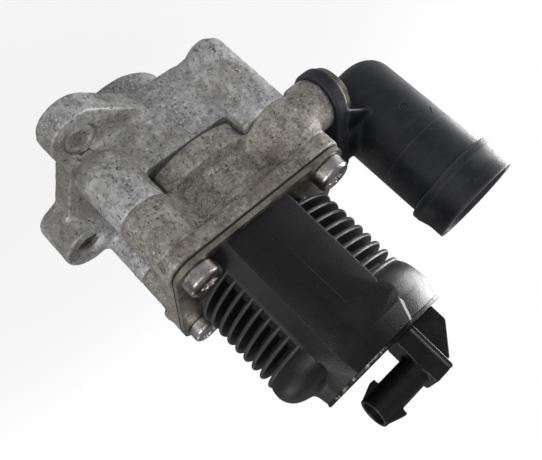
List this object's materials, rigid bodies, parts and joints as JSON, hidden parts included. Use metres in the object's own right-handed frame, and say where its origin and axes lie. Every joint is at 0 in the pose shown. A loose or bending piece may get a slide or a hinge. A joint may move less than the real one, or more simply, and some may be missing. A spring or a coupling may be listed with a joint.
{
  "type": "secondary air valve",
  "caption": "Solenoid-operated air valve with a lugged mounting casting, finned coil housing, side hose elbow, sprung poppet and check disc.",
  "frame": {"origin": "the middle of the outlet bore's mouth in the mounting face, on the solenoid's axis", "axes": "+Z along the solenoid's axis away from the mounting face, -X towards the hose elbow, -Y towards the flat pad's side"},
  "size_m": [0.1159, 0.0614, 0.1184],
  "materials": {
    "light_casting": "matte",
    "dark_casting": "matte",
    "gasket": "matte",
    "steel_sheet": "satin",
    "zinc_screw": "satin",
    "brown_screw": "satin",
    "housing_plastic": "matte",
    "connector_plastic": "matte",
    "elbow_plastic": "satin",
    "bobbin_plastic": "matte",
    "seal_rubber": "matte",
    "copper_wire": "satin",
    "brass_bush": "satin",
    "spring_steel": "satin",
    "turned_steel": "satin"
  },
  "bodies": {
    "valve": {"mounting_housing": "light_casting", "outlet_seal": "seal_rubber", "valve_body": "dark_casting", "flange_gasket": "gasket", "solenoid_flange": "steel_sheet", "flange_screws": "zinc_screw", "valve_seat": "turned_steel", "return_spring": "spring_steel", "spindle_bush": "brass_bush", "spindle_seal": "seal_rubber", "armature_sleeve": "brass_bush", "fixed_core": "turned_steel", "flux_can": "turned_steel", "coil_bobbin": "bobbin_plastic", "coil_winding": "copper_wire", "check_retainer": "turned_steel", "check_spring": "spring_steel", "solenoid_housing": "housing_plastic", "end_plate": "steel_sheet", "connector_shell": "connector_plastic", "terminal_pins": "brass_bush", "elbow": "elbow_plastic", "elbow_ring": "seal_rubber", "elbow_bush": "zinc_screw", "elbow_screw": "brown_screw"},
    "spindle_set": {"spindle": "turned_steel", "spindle_nut": "turned_steel", "poppet_plate": "turned_steel", "poppet_seal": "seal_rubber", "spring_cup": "turned_steel", "armature": "turned_steel"},
    "check": {"check_disc": "turned_steel"}
  },
  "joints": [
    {"name": "spindle_lift", "type": "slide", "parent": "valve", "child": "spindle_set", "axis": [0, 0, 1], "range_m": [0, 0.004], "stiffness_N_per_m": 1500, "springref_m": -0.008, "deforming": ["return_spring"]},
    {"name": "check_drop", "type": "slide", "parent": "valve", "child": "check", "axis": [0, 0, -1], "range_m": [0, 0.003], "stiffness_N_per_m": 200, "springref_m": -0.006, "deforming": ["check_spring"]}
  ]
}
